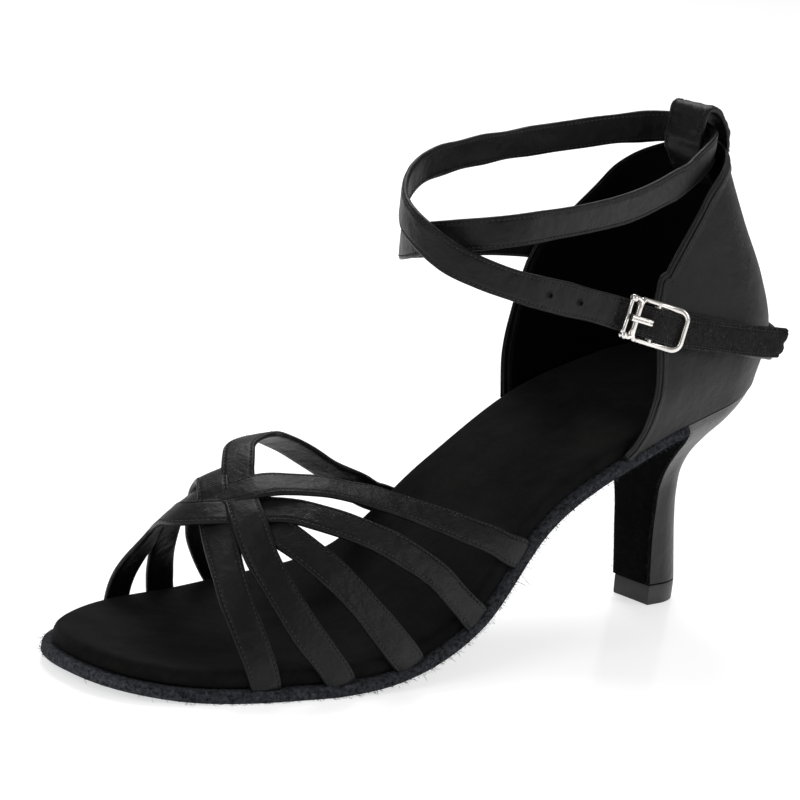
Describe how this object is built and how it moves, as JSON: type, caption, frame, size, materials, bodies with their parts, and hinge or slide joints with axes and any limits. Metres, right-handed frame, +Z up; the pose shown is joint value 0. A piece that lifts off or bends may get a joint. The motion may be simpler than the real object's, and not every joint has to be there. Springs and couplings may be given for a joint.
{
  "type": "ballroom dance shoe",
  "caption": "Ballroom dance shoe for the left foot: a strap sandal with a closed heel counter, flared heel, knotted vamp straps, a buckled ankle strap that crosses over, and a suede sole.",
  "frame": {"origin": "the middle of the heel tip's bottom face, on the floor", "axes": "+X towards the toe, +Y towards the outer (little toe) side of the left foot, +Z up"},
  "size_m": [0.2333, 0.0825, 0.1447],
  "materials": {
    "satin": "black satin with a soft sheen",
    "suede": "dark napped suede, matt, fuzzy at its cut edge",
    "microsuede": "padded black microsuede, matt",
    "plastic": "black moulded plastic, half gloss",
    "nickel": "bright nickel plate"
  },
  "bodies": {
    "root": {"outsole": "suede", "footbed": "microsuede", "heel_block": "satin", "heel_tip": "plastic", "heel_counter": "satin", "vamp_straps": "satin", "strap_loop": "satin", "ankle_strap": "satin", "buckle_frame": "nickel", "buckle_prong": "nickel"}
  },
  "joints": []
}
